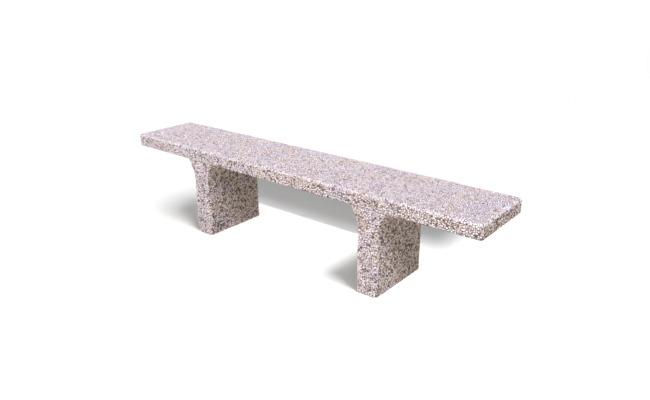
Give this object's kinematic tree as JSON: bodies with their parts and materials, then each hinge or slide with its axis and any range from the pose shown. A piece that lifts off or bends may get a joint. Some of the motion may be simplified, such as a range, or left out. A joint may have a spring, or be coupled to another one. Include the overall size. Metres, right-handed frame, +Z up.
{
  "type": "backless bench",
  "caption": "Backless concrete bench: a long flat seat slab with rounded edges on two slab legs that widen in a haunch under the seat.",
  "frame": {"origin": "on the ground, under the centre of the seat", "axes": "+X along the seat, +Y across it towards the back, +Z up"},
  "size_m": [2, 0.35, 0.45],
  "materials": {
    "washed_concrete": "washed exposed-aggregate concrete: pebbles of about 4 to 10 mm in a pale pinkish matrix",
    "bed_mortar": "fine cement mortar",
    "dowel_grout": "cement grout",
    "rebar_steel": "black bar with light rust",
    "tie_wire": "annealed black wire",
    "zinc_steel": "zinc plated",
    "plug_plastic": "moulded grey plastic"
  },
  "bodies": {
    "root": {"seat_slab": "washed_concrete", "left_leg": "washed_concrete", "right_leg": "washed_concrete", "left_bed": "bed_mortar", "right_bed": "bed_mortar", "left_dowels": "zinc_steel", "right_dowels": "zinc_steel", "left_dowel_grout": "dowel_grout", "right_dowel_grout": "dowel_grout", "slab_long_bars": "rebar_steel", "slab_cross_bars": "rebar_steel", "slab_tie_wires": "tie_wire", "slab_lift_sockets": "zinc_steel", "slab_socket_pins": "zinc_steel", "slab_socket_plugs": "plug_plastic", "left_uprights": "rebar_steel", "right_uprights": "rebar_steel", "left_links": "rebar_steel", "right_links": "rebar_steel", "left_head_bars": "rebar_steel", "right_head_bars": "rebar_steel", "left_foot_sockets": "zinc_steel", "right_foot_sockets": "zinc_steel", "left_foot_pins": "zinc_steel", "right_foot_pins": "zinc_steel"}
  },
  "joints": []
}
